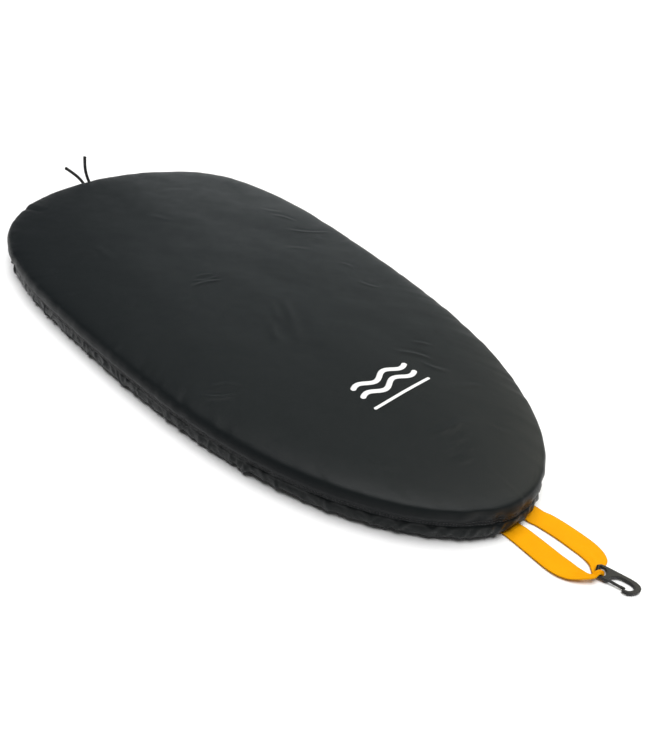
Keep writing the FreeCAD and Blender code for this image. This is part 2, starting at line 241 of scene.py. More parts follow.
def mix_rgb(nt, fac, a, b, mode="MIX"):
    n = N(nt, "ShaderNodeMix", data_type="RGBA", blend_type=mode)
    if isinstance(fac, (int, float)):
        n.inputs[0].default_value = fac
    else:
        L(nt, fac, n.inputs[0])
    for idx, v in ((6, a), (7, b)):
        if isinstance(v, tuple):
            n.inputs[idx].default_value = (*v, 1.0)
        else:
            L(nt, v, n.inputs[idx])
    return n.outputs[2]


def bump(nt, height, strength, distance, normal=None):
    b = N(nt, "ShaderNodeBump")
    b.inputs["Strength"].default_value = strength
    b.inputs["Distance"].default_value = distance
    L(nt, height, b.inputs["Height"])
    if normal is not None:
        L(nt, normal, b.inputs["Normal"])
    return b.outputs[0]


def uvvec(nt):
    return N(nt, "ShaderNodeUVMap", uv_map="cloth").outputs[0]


def objvec(nt):
    return N(nt, "ShaderNodeTexCoord").outputs["Object"]


# ------------------------------------------------------------------ materials
def make_nylon(name, dark, light, gloss, rough_lo, rough_hi, wall=None, weave_pitch=0.00042):
    m, nt, sh = material(name)
    uv, ob = uvvec(nt), objvec(nt)
    sep = N(nt, "ShaderNodeSeparateXYZ")
    L(nt, uv, sep.inputs[0])
    k = 2 * math.pi / weave_pitch
    su = mth(nt, "SINE", mth(nt, "MULTIPLY", sep.outputs[0], k))
    sv = mth(nt, "SINE", mth(nt, "MULTIPLY", sep.outputs[1], k))
    weave = mth(nt, "MULTIPLY", su, sv)
    sepo = N(nt, "ShaderNodeSeparateXYZ")
    L(nt, ob, sepo.inputs[0])
    # painted light: the nylon is made lighter and warmer towards the bow (+x), a painted reflection of the light that
    # falls there
    fore = mapr(nt, sepo.outputs[0], -0.45, 0.45, 0.0, 1.0)
    n_big = noise_node(nt, ob, 7.0, 3.0, 0.55)
    n_mid = noise_node(nt, ob, 46.0, 4.0, 0.6)
    n_fine = noise_node(nt, uv, 900.0, 2.0, 0.6)
    cool = mix_rgb(nt, n_big, dark, light)
    bow_lit_colour = mix_rgb(nt, mth(nt, "MULTIPLY", fore, 0.55), cool, (light[0] * 1.12, light[1] * 1.08, light[2] * 0.82))
    col = mix_rgb(nt, mth(nt, "MULTIPLY", n_fine, 0.25), bow_lit_colour, (light[0] * 1.5, light[1] * 1.5, light[2] * 1.5))
    rough = mth(nt, "ADD", mapr(nt, n_mid, 0.2, 0.8, rough_lo, rough_hi), mth(nt, "MULTIPLY", n_big, 0.06))
    L(nt, rough, sh.inputs["Roughness"])
    if wall:
        # painted shade: the drawn-down wall, which stands in shade, is made duller and darker than the span, from its
        # shoulder down; the edge of this shade wavers a little and lies lower at the bow
        reach = mth(nt, "ADD", mth(nt, "MULTIPLY", n_big, 0.002), mapr(nt, sepo.outputs[0], 0.30, 0.43, 0.0, 0.005))
        span = mapr(nt, mth(nt, "ADD", sepo.outputs[2], reach), 0.032, 0.0485, 0.0, 1.0)
        col = mix_rgb(nt, span, (dark[0] * wall, dark[1] * wall, dark[2] * wall), col)
        L(nt, mapr(nt, span, 0.0, 1.0, gloss * wall * 0.6, gloss), sh.inputs["Specular IOR Level"])
    else:
        sh.inputs["Specular IOR Level"].default_value = gloss
    L(nt, col, sh.inputs["Base Color"])
    sh.inputs["Sheen Weight"].default_value = 0.015
    sh.inputs["Sheen Roughness"].default_value = 0.45
    sh.inputs["Sheen Tint"].default_value = (0.75, 0.82, 0.85, 1.0)
    b1 = bump(nt, n_mid, 0.07, 0.0011)
    b2 = bump(nt, noise_node(nt, ob, 150.0, 3.0, 0.6), 0.14, 0.0004, b1)
    b3 = bump(nt, weave, 0.35, 0.00006, b2)
    L(nt, b3, sh.inputs["Normal"])
    return m


def make_thread(name, colour):
    m, nt, sh = material(name)
    ob = objvec(nt)
    n1 = noise_node(nt, ob, 2600.0, 3.0, 0.6)
    col = mix_rgb(nt, n1, colour, tuple(c * 2.2 for c in colour))
    L(nt, col, sh.inputs["Base Color"])
    L(nt, mapr(nt, n1, 0.2, 0.8, 0.45, 0.7), sh.inputs["Roughness"])
    sh.inputs["Sheen Weight"].default_value = 0.3
    L(nt, bump(nt, n1, 0.4, 0.0001), sh.inputs["Normal"])
    return m


def make_webbing(name):
    m, nt, sh = material(name)
    uv, ob = uvvec(nt), objvec(nt)
    sep = N(nt, "ShaderNodeSeparateXYZ")
    L(nt, uv, sep.inputs[0])
    # ribs across the band and two-thread columns along it, offset row by row as in a plain-woven webbing
    row = mth(nt, "MULTIPLY", sep.outputs[1], 1.0 / 0.00115)
    colm = mth(nt, "MULTIPLY", sep.outputs[0], 1.0 / 0.00150)
    rowi = mth(nt, "FLOOR", row)
    shift = mth(nt, "MULTIPLY", mth(nt, "MODULO", rowi, 2.0), 0.5)
    rib = mth(nt, "ABSOLUTE", mth(nt, "SINE", mth(nt, "MULTIPLY", row, math.pi)))
    cell = mth(nt, "ABSOLUTE", mth(nt, "SINE", mth(nt, "MULTIPLY", mth(nt, "ADD", colm, shift), math.pi)))
    h = mth(nt, "MULTIPLY", mth(nt, "POWER", rib, 0.6), mth(nt, "POWER", cell, 0.45))
    n1 = noise_node(nt, uv, 260.0, 3.0, 0.6)
    n2 = noise_node(nt, ob, 30.0, 2.0, 0.5)
    base = mix_rgb(nt, n2, (0.83, 0.345, 0.0006), (0.97, 0.475, 0.0010))
    # painted shade: the hollows of the weave (low h) are given a deeper, redder orange
    hollow_shaded = mix_rgb(nt, mth(nt, "MULTIPLY", mth(nt, "SUBTRACT", 1.0, h), 0.55), base, (0.66, 0.205, 0.0))
    col = mix_rgb(nt, mth(nt, "MULTIPLY", n1, 0.18), hollow_shaded, (0.76, 0.270, 0.0))
    L(nt, col, sh.inputs["Base Color"])
    L(nt, mapr(nt, h, 0.0, 1.0, 0.72, 0.5), sh.inputs["Roughness"])
    sh.inputs["Specular IOR Level"].default_value = 0.06
    sh.inputs["Sheen Weight"].default_value = 0.02
    sh.inputs["Sheen Roughness"].default_value = 0.4
    sh.inputs["Sheen Tint"].default_value = (1.0, 0.55, 0.08, 1.0)
    b = bump(nt, h, 0.7, 0.00022)
    L(nt, bump(nt, n1, 0.25, 0.00015, b), sh.inputs["Normal"])
    return m


def make_plastic(name):
    m, nt, sh = material(name)
    ob = objvec(nt)
    n1 = noise_node(nt, ob, 90.0, 3.0, 0.5)
    n2 = noise_node(nt, ob, 1500.0, 3.0, 0.65)
    n3 = noise_node(nt, ob, 420.0, 5.0, 0.7, 1.5)
    scuff = mapr(nt, n3, 0.62, 0.72, 0.0, 1.0)
    col = mix_rgb(nt, n1, (0.0056, 0.0055, 0.0052), (0.0092, 0.0091, 0.0085))
    col = mix_rgb(nt, mth(nt, "MULTIPLY", scuff, 0.30), col, (0.03, 0.03, 0.029))
    L(nt, col, sh.inputs["Base Color"])
    L(nt, mth(nt, "ADD", mapr(nt, n2, 0.3, 0.7, 0.30, 0.42), mth(nt, "MULTIPLY", scuff, 0.15)), sh.inputs["Roughness"])
    sh.inputs["Specular IOR Level"].default_value = 0.26
    b = bump(nt, n2, 0.22, 0.00008)
    L(nt, bump(nt, n1, 0.12, 0.0004, b), sh.inputs["Normal"])
    return m


def make_braid(name, pitch=0.0021, around_n=10):
    """Braided cover of the shock cord, as two sets of crossing diagonal bands in object coordinates."""
    m, nt, sh = material(name)
    ob = objvec(nt)
    sep = N(nt, "ShaderNodeSeparateXYZ")
    L(nt, ob, sep.inputs[0])
    k = 2 * math.pi / pitch
    diag1 = mth(nt, "SINE", mth(nt, "MULTIPLY", mth(nt, "ADD", sep.outputs[2], mth(nt, "ADD", sep.outputs[0], sep.outputs[1])), k))
    diag2 = mth(nt, "SINE", mth(nt, "MULTIPLY", mth(nt, "SUBTRACT", sep.outputs[2], mth(nt, "ADD", sep.outputs[0], sep.outputs[1])), k))
    h = mth(nt, "MAXIMUM", diag1, diag2)
    n1 = noise_node(nt, ob, 1200.0, 3.0, 0.6)
    # painted shade: the braid is darker in the hollows between its strands (low h) than on their crowns
    col = mix_rgb(nt, mapr(nt, h, -1.0, 1.0, 0.0, 1.0), (0.006, 0.006, 0.007), (0.024, 0.025, 0.028))
    L(nt, col, sh.inputs["Base Color"])
    L(nt, mapr(nt, n1, 0.2, 0.8, 0.55, 0.75), sh.inputs["Roughness"])
    sh.inputs["Sheen Weight"].default_value = 0.35
    sh.inputs["Sheen Roughness"].default_value = 0.5
    b = bump(nt, h, 0.6, 0.00025)
    L(nt, bump(nt, n1, 0.25, 0.0001, b), sh.inputs["Normal"])
    return m


def make_print(name):
    m, nt, sh = material(name)
    ob = objvec(nt)
    n1 = noise_node(nt, ob, 380.0, 5.0, 0.7)
    n2 = noise_node(nt, ob, 2200.0, 2.0, 0.6)
    worn = mapr(nt, n1, 0.60, 0.74, 0.0, 0.6)
    col = mix_rgb(nt, n2, (0.80, 0.81, 0.81), (0.93, 0.93, 0.92))
    col = mix_rgb(nt, worn, col, (0.46, 0.47, 0.47))
    L(nt, col, sh.inputs["Base Color"])
    L(nt, mapr(nt, n2, 0.2, 0.8, 0.5, 0.65), sh.inputs["Roughness"])
    L(nt, bump(nt, n2, 0.3, 0.00008), sh.inputs["Normal"])
    return m


def make_floor():
    m, nt, sh = material("floor_paper")
    ob = objvec(nt)
    n1 = noise_node(nt, ob, 3.0, 2.0, 0.5)
    L(nt, mix_rgb(nt, n1, (0.92, 0.92, 0.92), (0.94, 0.94, 0.94)), sh.inputs["Base Color"])
    sh.inputs["Roughness"].default_value = 0.9
    sh.inputs["Specular IOR Level"].default_value = 0.1
    return m


# the last argument, 0.70, darkens and dulls the panel's wall from its shoulder down: painted shade
M_PANEL = make_nylon("nylon_panel", (0.0050, 0.0070, 0.0086), (0.0070, 0.0092, 0.0104), 0.17, 0.35, 0.44, 0.70)
# painted shade: the casing is the same nylon as the panel, set darker as that cloth looks in the shade low under the
# rim
M_CASING = make_nylon("nylon_casing", (0.0042, 0.0056, 0.0072), (0.0066, 0.0084, 0.0098), 0.13, 0.27, 0.36)
M_THREAD = make_thread("seam_thread", (0.006, 0.006, 0.007))
M_WEB = make_webbing("orange_webbing")
M_TACK = make_thread("tack_thread", (0.55, 0.16, 0.01))
M_HOOK = make_plastic("hook_acetal")
M_BRAID = make_braid("cord_braid")
M_PRINT = make_print("screen_print")


# ------------------------------------------------------------------ gathers: one set of folds that the casing and the lower wall share
FOLDS = []
pos = 0.0
while pos < PERIM - 5:
    width = RNG.uniform(1.5, 4.2)
    FOLDS.append(dict(s=pos, w=width, a=RNG.uniform(0.35, 1.0) * (1 if RNG.random() < 0.72 else -0.8),
                      k=RNG.normal(0.35, 0.45), up=RNG.uniform(4.0, 13.0), top=RNG.uniform(0.25, 1.0),
                      zc=RNG.uniform(4, 18), zs=RNG.uniform(6, 16)))
    pos += width * RNG.uniform(1.9, 4.4) + 1.5


def fold_field(S, Z, part):
    """Sum of the folds at places S round the hem and heights Z. Evaluated only near each fold."""
    out = np.zeros_like(S)
    cols = S[0]
    for f in FOLDS:
        reach = 5.0 * f["w"] + 26.0 * abs(f["k"]) + 4.0
        near = np.abs(around(cols - f["s"])) < reach
        if not near.any():
            continue
        s, z = S[:, near], Z[:, near]
        d = around(s - f["s"]) - f["k"] * (z - 20.5)
        g = np.exp(-(d / f["w"]) ** 2) - 0.45 * np.exp(-((d - 1.9 * f["w"]) / (1.1 * f["w"])) ** 2)
        if part == "casing":
            e = 0.35 + 0.65 * np.exp(-((z - f["zc"]) / f["zs"]) ** 2)
        else:
            e = f["top"] * np.exp(-np.maximum(z - 20.5, 0) / f["up"])
        out[:, near] += f["a"] * g * e
    return out


# ------------------------------------------------------------------ top panel
PROFILE = [(0.0, -6.0, 51.6), (0.24, -6.0, 51.4), (0.44, -6.0, 50.9), (0.64, -6.0, 49.9), (0.80, -6.0, 48.5), (0.89, -6.0, 47.2),
           (0.94, -6.0, 45.9), (0.977, -6.0, 43.9), (1.0, -6.0, 41.2), (1.0, -3.0, 37.0), (1.0, -2.0, 32.5), (1.0, -2.6, 29.0),
           (1.0, -3.9, 25.0), (1.0, -5.3, 20.4)]
tt = [0.0]
for a, b in zip(PROFILE, PROFILE[1:]):
    tt.append(tt[-1] + math.sqrt(((b[0] - a[0]) * 300 + b[1] - a[1]) ** 2 + (b[2] - a[2]) ** 2))
table = [(t, *p) for t, p in zip(tt, PROFILE)]
T_RIM = tt[8]
t_rows = np.concatenate([np.linspace(tt[0] + 3.0, tt[6], 92)[:-1], np.linspace(tt[6], tt[-1], 40)])
prof = smooth_table(table, t_rows)          # scale, offset, z per row
COLS = 960
S_cols = np.linspace(0, PERIM, COLS, endpoint=False)
U = u_of_s(S_cols)
ex, ey = egg(U)
enx, eny = egg_normal(U)


def surface(prof_rows, s_extra=None):
    sc, off, z = prof_rows[:, 0:1], prof_rows[:, 1:2], prof_rows[:, 2:3]
    X = CX + sc * (ex + enx * off - CX)
    Y = sc * (ey + eny * off)
    return np.stack([X, Y, np.broadcast_to(z, X.shape)], 2)


CREASES = [  # x0, y0, x1, y1, half width, height
    (-108, 138, -71, 190, 2.8, 0.50), (-164, 148, -124, 166, 2.6, 0.42), (-192, 150, -163, 170, 3.2, 0.30),
    (-39, -62, -31, -22, 2.8, 0.55), (-49, -52, -43, -20, 2.4, 0.40), (-57, -46, -52, -24, 2.2, 0.25),
    (157, -166, 178, -132, 2.8, 0.75), (150, -154, 169, -122, 3.0, 0.35),
    (78, -22, 122, -46, 5.4, 0.50), (48, 16, 140, -30, 5.6, 0.52), (50, 2, 92, -20, 4.6, 0.36),
    (217, 54, 250, 78, 2.9, 0.60), (250, 64, 276, 78, 2.8, 0.50), (212, 82, 229, 98, 2.4, 0.35),
    (337, -16, 342, 26, 3.0, 0.70), (345, -6, 352, 40, 3.0, 0.45), (379, -26, 382, 0, 2.6, 0.70), (372, -14, 380, 10, 2.6, 0.45),
    (356, -10, 360, 14, 2.4, 0.40), (13, 138, 36, 144, 2.6, 0.28), (68, 126, 94, 136, 2.6, 0.26),
    (-213, -114, -156, -116, 5.0, 0.22), (-260, -6, -222, 12, 4.5, 0.20), (300, 60, 318, 92, 2.8, 0.30), (330, -92, 352, -70, 2.8, 0.30),
    (-330, 60, -308, 96, 4.0, 0.20), (366, 44, 386, 58, 2.4, 0.35), (-60, 100, -38, 126, 3.4, 0.22),
]


def crease_field(x, y):
    out = np.zeros_like(x)
    for i, (x0, y0, x1, y1, w, h) in enumerate(CREASES):
        ln = math.hypot(x1 - x0, y1 - y0)
        dx, dy = (x1 - x0) / ln, (y1 - y0) / ln
        a = (x - x0) * dx + (y - y0) * dy
        m = (a > -0.6 * ln) & (a < 1.6 * ln)
        bow = (0.03 if w > 4 else 0.09) * ln * np.sin(np.clip(a / ln, 0, 1) * math.pi) * (1 if i % 2 else -1)
        d = -(x - x0) * dy + (y - y0) * dx - bow
        env = np.exp(-((a / ln - 0.5) / 0.42) ** 4)
        f = np.exp(-(d / w) ** 2) - 0.55 * np.exp(-((d - 1.9 * w) / (1.3 * w)) ** 2)
        out += np.where(m, h * env * f, 0.0)
    return out


P = surface(prof)
nrm = grid_normals(P)
if nrm[10, 10, 2] < 0:
    nrm = -nrm
Sg = np.broadcast_to(S_cols, P.shape[:2]).copy()
Zg = P[:, :, 2]
tg = np.broadcast_to(t_rows[:, None], P.shape[:2])
top = 1 - sstep(T_RIM - 4, T_RIM + 10, tg)
h = 1.35 * crease_field(P[:, :, 0], P[:, :, 1]) * (1 - sstep(T_RIM - 2, T_RIM + 12, tg))
# slack of the cloth over its span: long soft swells, drawn out across the cover, that fade at the centre of the bow
x_, y_ = P[:, :, 0], P[:, :, 1]
h += 1.0 * noise2(x_ / 120 + 3.1, y_ / 70 + 7.7, 1) * top * sstep(0, 60, tg)
h += 0.20 * noise2((x_ * 0.9 + y_ * 0.45) / 46, (y_ - 0.4 * x_) / 30, 2) * top
h += 0.05 * noise2((x_ + 0.6 * y_) / 19, (y_ - 0.5 * x_) / 12, 3) * top
# drawn lines that run in from the rim, where the cord pulls the cloth down
edge = np.exp(-np.maximum(T_RIM + 2 - tg, 0) / 26.0)
pull = noise2(Sg / 17.0 + 0.004 * Sg, tg / 60.0, 5) * 0.40 + noise2(Sg / 8.5, tg / 36.0, 6) * 0.20
h += pull * edge
# gathers above the seam
h += 0.70 * fold_field(Sg, Zg, "wall") * sstep(T_RIM - 12, T_RIM + 18, tg)
# pulled-in dimples beside the webbing, and one fold at the stern quarter
for sx, sy, zc, ws, wz, d in ((446, -52, 32, 9, 8, -3.0), (449, -30, 29, 7, 7, -2.8), (452, 4, 30, 6, 7, -1.2), (446, 44, 31, 7, 7, -1.4),
                              (421, -70, 33, 12, 7, -0.9), (-398, -145, 34, 4.5, 9, -2.6), (-405, -131, 36, 6.5, 10, 1.3), (-250, -213, 33, 10, 8, -0.8)):
    s0 = s_near(sx, sy)
    h += d * np.exp(-(around(Sg - s0) / ws) ** 2) * np.exp(-((Zg - zc) / wz) ** 2) * (tg > T_RIM - 30)
h += 1.5 * np.exp(-(around(Sg - s_near(450, 12)) / 78.0) ** 4) * np.exp(-((Zg - 22) / 6.5) ** 2) * (tg > T_RIM)
# thread sinks into the cloth along the two rows of stitches
for zr in (22.7, 26.0):
    h -= 0.38 * np.exp(-((Zg - zr) / 0.75) ** 2) * (tg > T_RIM)
    h += 0.16 * noise2(Sg / 3.3, Zg * 0 + zr, 9) * np.exp(-((Zg - zr) / 2.4) ** 2) * (tg > T_RIM)
PANEL = P + nrm * h[:, :, None]
# the lower edge of the panel is turned and a little uneven
PANEL[-1, :, 2] += 0.25 * noise2(S_cols / 9.0, S_cols * 0, 12)
PNRM = grid_normals(PANEL)
if PNRM[10, 10, 2] < 0:
    PNRM = -PNRM

# flat coordinates of the cloth: plan position on top, carried on outward down the wall
down = np.maximum(t_rows - T_RIM, 0)[:, None]
uvx = (P[:, :, 0] + enx * (down + 0 * P[:, :, 0])) * MM
uvy = (P[:, :, 1] + eny * (down + 0 * P[:, :, 1])) * MM

# the grid thins out towards the middle, so that no face is a sliver
verts, uvs, faces, ring = [], [], [], []
cols_at = []
n = COLS
for j in range(len(t_rows) - 1, -1, -1):
    radius = max(prof[j, 0], 0.01)
    while n > 15 and n * 1.0 > 2.2 * COLS * radius:
        n //= 2
    cols_at.append((j, n))
for j, n in cols_at:
    step = COLS // n
    start = len(verts)
    idx = np.arange(n) * step
    verts += [tuple(v) for v in PANEL[j, idx] * MM]
    uvs += list(zip(uvx[j, idx], uvy[j, idx]))
    ring.append((start, n))
for (a0, na), (b0, nb) in zip(ring, ring[1:]):
    if na == nb:
        for i in range(na):
            k = (i + 1) % na
            faces.append((a0 + i, a0 + k, b0 + k, b0 + i))
    else:
        for i in range(nb):
            k = (i + 1) % nb
            p0, p1, p2 = a0 + 2 * i, a0 + 2 * i + 1, a0 + (2 * i + 2) % na
            faces.append((p0, p1, b0 + i))
            faces.append((p1, b0 + k, b0 + i))
            faces.append((p1, p2, b0 + k))
start, n = ring[-1]
verts.append((CX * MM, 0.0, float(PANEL[0, :, 2].mean() + 0.01) * MM))
uvs.append((CX * MM, 0.0))
for i in range(n):
    faces.append((start + i, start + (i + 1) % n, len(verts) - 1))
panel = new_mesh("cover_panel", verts, faces, uvs)
sol = panel.modifiers.new("cloth_thickness", "SOLIDIFY")
sol.thickness = 0.0006
sol.offset = -1.0
panel = apply_modifiers(panel)
panel.data.materials.append(M_PANEL)
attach(panel, "cover")
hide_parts("top_panel")


# ------------------------------------------------------------------ hem casing, gathered on its cord
CPROF = [(-5.6, 26.6), (-6.1, 24.6), (-6.6, 22.4), (-6.45, 20.6), (-5.5, 18.9), (-4.9, 16.0), (-4.7, 12.4), (-5.1, 8.8), (-6.4, 5.4), (-8.4, 2.7),
         (-10.3, 1.05), (-11.8, 0.45), (-13.1, 0.95), (-14.5, 2.8), (-15.2, 5.4), (-15.3, 9.0), (-14.4, 12.6), (-12.4, 16.2), (-10.2, 18.9),
         (-8.7, 21.0), (-7.9, 24.0), (-6.8, 26.8)]
ct = [0.0]
for a, b in zip(CPROF, CPROF[1:]):
    ct.append(ct[-1] + math.hypot(b[0] - a[0], b[1] - a[1]))
CROWS, CCOLS = 72, 1500
cp = smooth_table([(t, *p) for t, p in zip(ct, CPROF)], CROWS)
cs = np.linspace(0, PERIM, CCOLS, endpoint=False)
cu = u_of_s(cs)
cx, cy = egg(cu)
cnx, cny = egg_normal(cu)
# at the bow the webbing props the hem out, so that it hangs straight down from the wall there
c_off = cp[:, 0:1] + 2.4 * np.exp(-(around(cs - s_near(450, 12)) / 78.0) ** 4)[None, :] * (1 - sstep(18.0, 25.0, cp[:, 1:2]))
CP = np.stack([cx + cnx * c_off, cy + cny * c_off, np.broadcast_to(cp[:, 1:2], (CROWS, CCOLS))], 2)
cn = grid_normals(CP)
mid = CROWS // 4
if (cn[mid, :, 0] * cnx + cn[mid, :, 1] * cny).mean() < 0:
    cn = -cn
CS = np.broadcast_to(cs, (CROWS, CCOLS)).copy()
CZ = CP[:, :, 2]
ctt = np.broadcast_to(np.linspace(0, ct[-1], CROWS)[:, None], CS.shape)
grow = sstep(ct[3], ct[3] + 4.5, ctt) * (1 - sstep(ct[18], ct[19], ctt))
outer_side = 1 - sstep(ct[10], ct[13], ctt)
hc = fold_field(CS, CZ, "casing") * (1.60 * outer_side + 0.8 * (1 - outer_side))
hc += 0.55 * noise2(CS / 11.0, CZ / 9.0, 21) + 0.28 * noise2((CS + 0.7 * CZ) / 4.2, CZ / 7.0, 22)
# the cloth is pinched between the lower row of stitches and the cord
hc -= 0.35 * np.exp(-((CZ - 17.2) / 2.2) ** 2) * outer_side * (0.6 + 0.4 * noise2(CS / 14.0, CZ * 0, 24))
CASE = CP + cn * (hc * grow)[:, :, None]
# uneven lower edge: it lifts off the ground between the places where it stands
lift = np.clip(1.5 * noise2(cs / 23.0, cs * 0 + 0.5, 31) + 1.1 * noise2(cs / 9.0, cs * 0 + 3.5, 32) + 0.5, 0, 3.2)
front = np.exp(-(around(cs - s_near(450, 12)) / 42.0) ** 4)
lift = np.maximum(lift * (1 - front), 0) + 2.25 * front
bottom = (1 - sstep(3.0, 13.0, CZ))
CASE[:, :, 2] += lift[None, :] * bottom
CASE[:, :, 2] = np.maximum(CASE[:, :, 2], 0.12)
CUV = np.stack([CS + 0.0 * ctt, ctt], 2) * MM
casing = new_mesh("hem_casing_cloth", (CASE * MM).reshape(-1, 3), grid_faces(CROWS, CCOLS), CUV.reshape(-1, 2))
sol = casing.modifiers.new("cloth_thickness", "SOLIDIFY")
sol.thickness = 0.0005
sol.offset = 0.0
casing = apply_modifiers(casing)
casing.data.materials.append(M_CASING)
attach(casing, "cover")
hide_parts("hem_casing")


# ------------------------------------------------------------------ stitches
def panel_at(s, z):
    """Point and normal of the panel's outside on its lower wall, at s round the hem and height z."""
    rows = np.where(t_rows > T_RIM + 6)[0]
    base = P[rows, 0, 2]                       # heights fall along the rows
    fr = np.interp(-z, -base, np.arange(len(rows)))
    j0 = int(min(fr, len(rows) - 2))
    fj = fr - j0
    fi = (s % PERIM) / PERIM * COLS
    i0 = int(fi) % COLS
    i1, fi = (i0 + 1) % COLS, fi - int(fi)
    a, b = rows[j0], rows[j0 + 1]
    out = []
    for G in (PANEL, PNRM):
        v = (G[a, i0] * (1 - fi) + G[a, i1] * fi) * (1 - fj) + (G[b, i0] * (1 - fi) + G[b, i1] * fi) * fj
        out.append(v)
    return out[0], out[1] / np.linalg.norm(out[1])


def capsules(name, segs, radius, mat, sides=7):
    """One mesh of short thread segments (start, end, outward normal), each arched out of the cloth and sunk at its ends."""
    verts, faces = [], []
    prof_t = (0.0, 0.12, 0.35, 0.65, 0.88, 1.0)
    prof_r = (0.25, 0.8, 1.0, 1.0, 0.8, 0.25)
    prof_h = (-0.9, 0.05, 0.55, 0.55, 0.05, -0.9)
    for a, b, n in segs:
        a, b, n = np.array(a, float), np.array(b, float), np.array(n, float)
        d = b - a
        d /= np.linalg.norm(d)
        side = np.cross(d, n)
        side /= np.linalg.norm(side)
        nn = np.cross(side, d)
        base = len(verts)
        for t, r, hh in zip(prof_t, prof_r, prof_h):
            c = a + (b - a) * t + nn * (hh * radius)
            for k in range(sides):
                th = 2 * math.pi * k / sides
                verts.append(c + (side * math.cos(th) + nn * math.sin(th)) * radius * r)
        for j in range(len(prof_t) - 1):
            for k in range(sides):
                k2 = (k + 1) % sides
                faces.append((base + j * sides + k, base + j * sides + k2, base + (j + 1) * sides + k2, base + (j + 1) * sides + k))
        faces.append(tuple(base + k for k in range(sides))[::-1])
        faces.append(tuple(base + (len(prof_t) - 1) * sides + k for k in range(sides)))
    o = new_mesh(name, np.array(verts) * MM, faces)
    o.data.materials.append(mat)
    return o


for node, z in (("hem_thread_lower", 22.7), ("hem_thread_upper", 26.0)):
    pitch = 3.1
    count = int(PERIM / pitch)
    segs = []
    for i in range(count):
        s0 = i * PERIM / count
        p0, n0 = panel_at(s0 + 0.35, z + 0.12 * math.sin(i * 1.7))
        p1, n1 = panel_at(s0 + PERIM / count - 0.35, z + 0.12 * math.sin(i * 2.3 + 1))
        segs.append((p0 + n0 * 0.05, p1 + n1 * 0.05, n0 + n1))
    st = capsules(node.replace("thread", "stitches"), segs, 0.34, M_THREAD)
    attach(st, "cover")
    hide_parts(node)


def zigzag(centre, along, across, normal, length, width, n, r):
    """A bar tack: threads laid side by side across a short line."""
    c, a, w, nn = (np.array(v, float) for v in (centre, along, across, normal))
    out = []
    for i in range(n):
        t = (i / (n - 1) - 0.5) * length
        sgn = 1 if i % 2 else -1
        out.append((c + a * (t - 0.3 * sgn) - w * width / 2, c + a * (t + 0.3 * sgn) + w * width / 2, nn))
    return out


# ------------------------------------------------------------------ webbing, one continuous band
BAR = np.array([526.0, 17.0, 4.6])
YAW, TILT = math.radians(23.3), math.radians(4.3)
HX = np.array([math.cos(YAW), math.sin(YAW), 0.0])
HY = np.array([-math.sin(YAW), math.cos(YAW), 0.0])
HXT = HX * math.cos(TILT) - np.array([0, 0, 1.0]) * math.sin(TILT)
HZT = HX * math.sin(TILT) + np.array([0, 0, 1.0]) * math.cos(TILT)
WRAP_R = 1.7 + 0.3 + 1.2


def u_at_y(y):
    k = np.where(_x > 300)[0]
    return float(_u[k][np.argmin(np.abs(_y[k] - y))])


def inner_end(y_out, y_base):
    """Sections of the sewn end, from inside the hem out to the lifting line."""
    u = u_at_y(y_base)
    x, y = egg(u)
    nx, ny = egg_normal(u)
    n, w = np.array([nx, ny, 0.0]), np.array([-ny, nx, 0.0])
    at = lambda off, z: np.array([x + nx * off, y + ny * off, z])
    sec = [(at(-18.4, 19.0), w, n, 23.5, 1.4), (at(-18.45, 12.0), w, n, 23.5, 1.4), (at(-18.4, 6.0), w, n, 23.5, 1.4)]
    r = 2.4
    for k in (3.4, 2, 0.6):
        th = math.radians(22.5 * k)
        sec.append((at(-18.4 + r - r * math.sin(th), 1.0 + r - r * math.cos(th)), w, n * math.sin(th) + np.array([0, 0, 1.0]) * math.cos(th), 23.5, 1.4))
    sec.append((at(-12.0, 1.0), w, np.array([0, 0, 1.0]), 23.5, 1.4))
    sec.append((at(-5.0, 1.0), w * 0.7 + np.array([0, 0.3, 0]), np.array([0, 0, 1.0]), 23.5, 1.4))
    sec.append((np.array([451.0, y_out - (0.2 if y_out < 0 else 0.8), 1.0]), np.array([0, 1.0, 0]), np.array([0, 0, 1.0]), 24.0, 1.4))
    return sec


Z1 = np.array([0, 0, 1.0])
W1 = np.array([0, 1.0, 0])
SEC = inner_end(-4.0, -4.8)
SEC += [(np.array([458.0, -3.9, 1.05]), W1, Z1, 24.6, 1.4), (np.array([470.0, -4.0, 1.15]), W1, Z1, 25.0, 1.4),
        (np.array([483.0, -4.4, 1.4]), np.array([0.02, 1, 0.01]), np.array([-0.03, 0, 1]), 25.0, 1.4),
        (np.array([496.0, -4.8, 1.8]), np.array([-0.02, 1, 0.02]), np.array([-0.06, 0, 1]), 24.6, 1.4),
        (np.array([506.5, -3.8, 2.3]), np.array([-0.08, 0.99, 0.0]), np.array([-0.10, 0, 1]), 23.2, 1.5),
        (np.array([514.5, -1.8, 3.0]), np.array([-0.16, 0.98, -0.03]), np.array([-0.14, 0, 1]), 19.2, 1.65),
        (np.array([520.3, 0.7, 4.4]), np.array([-0.28, 0.94, -0.10]), np.array([-0.16, 0.05, 1]), 13.8, 1.85),
        (np.array([524.4, 2.9, 5.2]), np.array([-0.42, 0.86, -0.24]), np.array([-0.12, 0.15, 1]), 9.4, 2.05)]


def at_bar(x, y, z):
    """Point beside the eye bar: across it, along it, and up."""
    return BAR + HX * x + HY * y + Z1 * z


